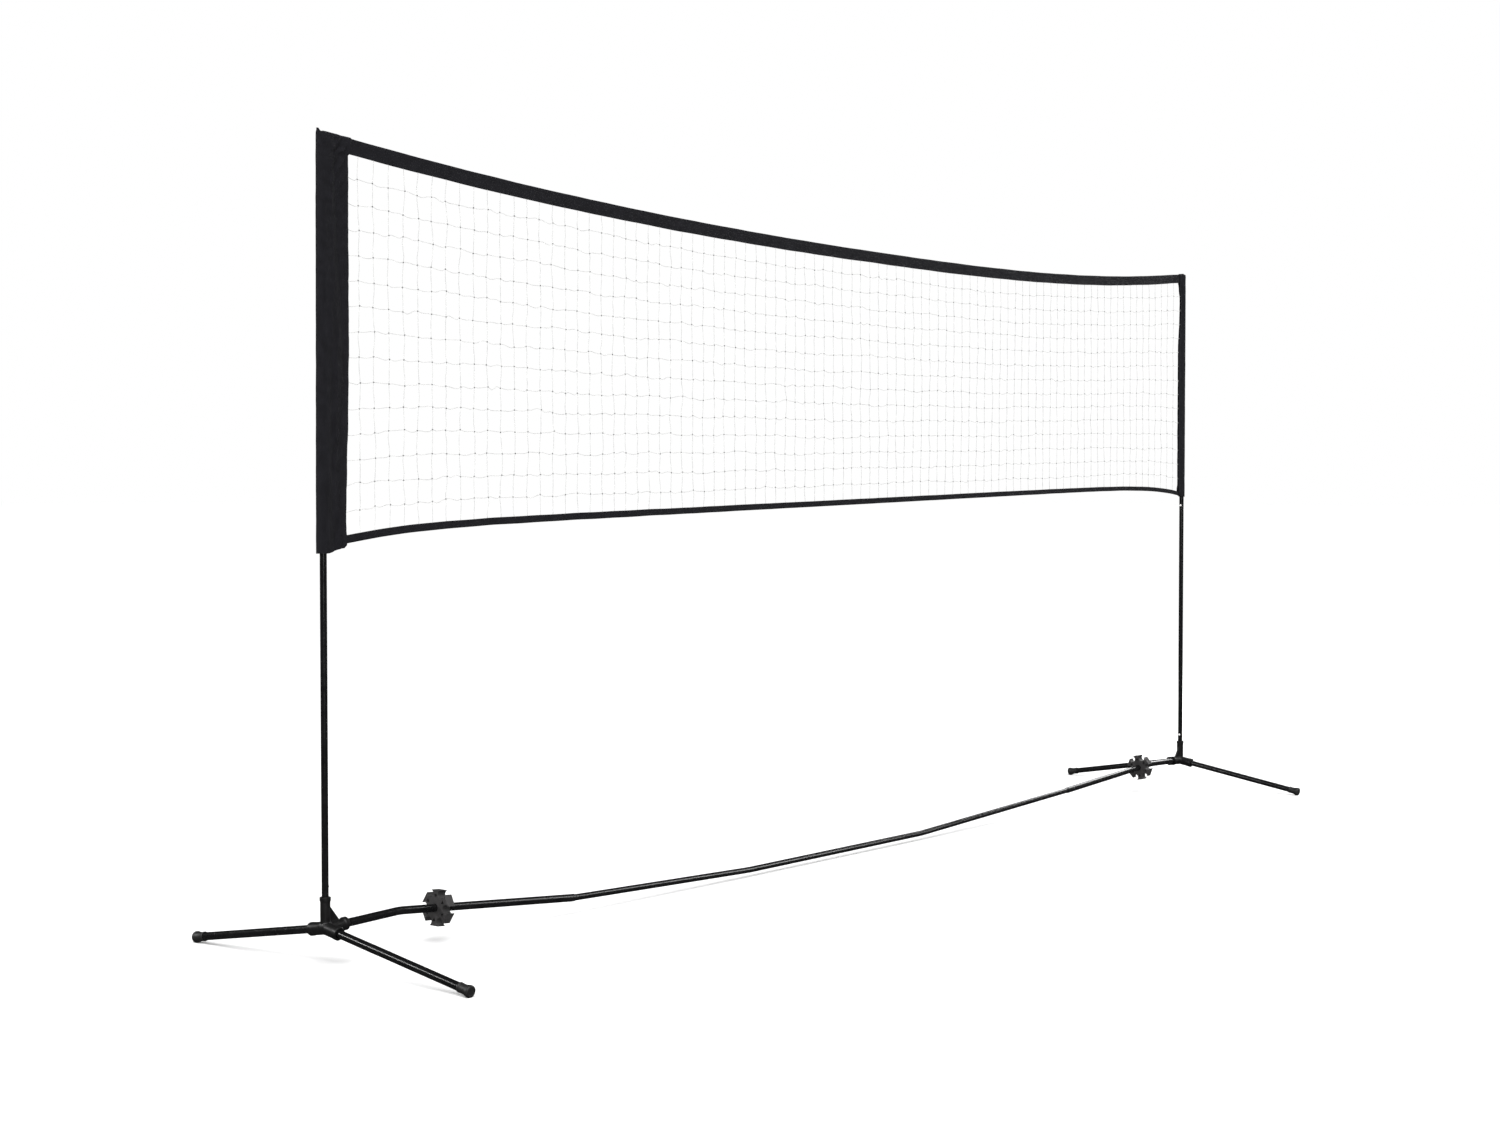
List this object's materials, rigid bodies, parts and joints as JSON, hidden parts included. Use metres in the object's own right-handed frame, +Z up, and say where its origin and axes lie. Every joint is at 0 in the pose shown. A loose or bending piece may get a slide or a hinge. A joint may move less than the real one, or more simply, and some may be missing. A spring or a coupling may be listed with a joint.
{
  "type": "portable badminton net",
  "caption": "Freestanding portable net: string mesh bound in black fabric, hung between two plug-together poles on splayed legs, with a jointed floor bar and notched storage clips.",
  "frame": {"origin": "on the floor, midway between the two poles", "axes": "+X along the net from the left pole to the right, +Y towards the rear legs, +Z up"},
  "size_m": [3.3856, 0.7794, 1.548],
  "materials": {
    "tube_paint": "gloss black powder paint",
    "hub_plastic": "satin black moulded plastic",
    "foot_plastic": "satin black moulded plastic",
    "clip_plastic": "matte dark grey moulded plastic",
    "button_metal": "bright nickel",
    "spring_steel": "plain spring steel",
    "band_fabric": "plain woven polyester",
    "net_string": "twisted white string"
  },
  "bodies": {
    "base": {"hub_left": "hub_plastic", "hub_stub_left": "tube_paint", "hub_spring_left": "spring_steel", "bar_end_left": "tube_paint", "leg_left_front": "tube_paint", "foot_cap_left_front": "foot_plastic", "leg_left_rear": "tube_paint", "foot_cap_left_rear": "foot_plastic", "hub_right": "hub_plastic", "hub_stub_right": "tube_paint", "hub_spring_right": "spring_steel", "bar_end_right": "tube_paint", "leg_right_front": "tube_paint", "foot_cap_right_front": "foot_plastic", "leg_right_rear": "tube_paint", "foot_cap_right_rear": "foot_plastic", "bar_middle_1": "tube_paint", "bar_middle_2": "tube_paint", "bar_middle_3": "tube_paint"},
    "clip_left": {"storage_clip_left": "clip_plastic"},
    "hub_button_left": {"hub_button_left": "button_metal"},
    "clip_right": {"storage_clip_right": "clip_plastic"},
    "hub_button_right": {"hub_button_right": "button_metal"},
    "lower_poles": {"pole_lower_left": "tube_paint", "pole_lower_right": "tube_paint", "pole_spring_left": "spring_steel", "pole_spring_right": "spring_steel"},
    "pole_button_left": {"pole_button_left": "button_metal"},
    "pole_button_right": {"pole_button_right": "button_metal"},
    "upper_poles": {"pole_upper_left": "tube_paint", "pole_upper_right": "tube_paint", "pole_cap_left": "hub_plastic", "pole_cap_right": "hub_plastic"},
    "net": {"sleeve_left": "band_fabric", "sleeve_right": "band_fabric", "top_band": "band_fabric", "bottom_band": "band_fabric", "net_mesh": "net_string"}
  },
  "joints": [
    {"name": "lower_poles_lift", "type": "slide", "parent": "base", "child": "lower_poles", "axis": [0, 0, 1], "range_m": [0, 0.4]},
    {"name": "upper_poles_lift", "type": "slide", "parent": "lower_poles", "child": "upper_poles", "axis": [0, 0, 1], "range_m": [0, 0.12]},
    {"name": "net_lift", "type": "slide", "parent": "upper_poles", "child": "net", "axis": [0, 0, 1], "range_m": [0, 0.78]},
    {"name": "hub_button_left_press", "type": "slide", "parent": "base", "child": "hub_button_left", "axis": [-1, 0, 0], "range_m": [0, 0.0037], "stiffness_N_per_m": 900, "springref_m": -0.001, "deforming": ["hub_spring_left"]},
    {"name": "hub_button_right_press", "type": "slide", "parent": "base", "child": "hub_button_right", "axis": [1, 0, 0], "range_m": [0, 0.0037], "stiffness_N_per_m": 900, "springref_m": -0.001, "deforming": ["hub_spring_right"]},
    {"name": "pole_button_left_press", "type": "slide", "parent": "lower_poles", "child": "pole_button_left", "axis": [-1, 0, 0], "range_m": [0, 0.0037], "stiffness_N_per_m": 900, "springref_m": -0.001, "deforming": ["pole_spring_left"]},
    {"name": "pole_button_right_press", "type": "slide", "parent": "lower_poles", "child": "pole_button_right", "axis": [1, 0, 0], "range_m": [0, 0.0037], "stiffness_N_per_m": 900, "springref_m": -0.001, "deforming": ["pole_spring_right"]},
    {"name": "clip_left_slide", "type": "slide", "parent": "base", "child": "clip_left", "axis": [0.9959, 0, -0.091], "range_m": [-0.058, 0.34]},
    {"name": "clip_right_slide", "type": "slide", "parent": "base", "child": "clip_right", "axis": [-0.9982, 0, -0.0592], "range_m": [-0.022, 0.38]}
  ]
}
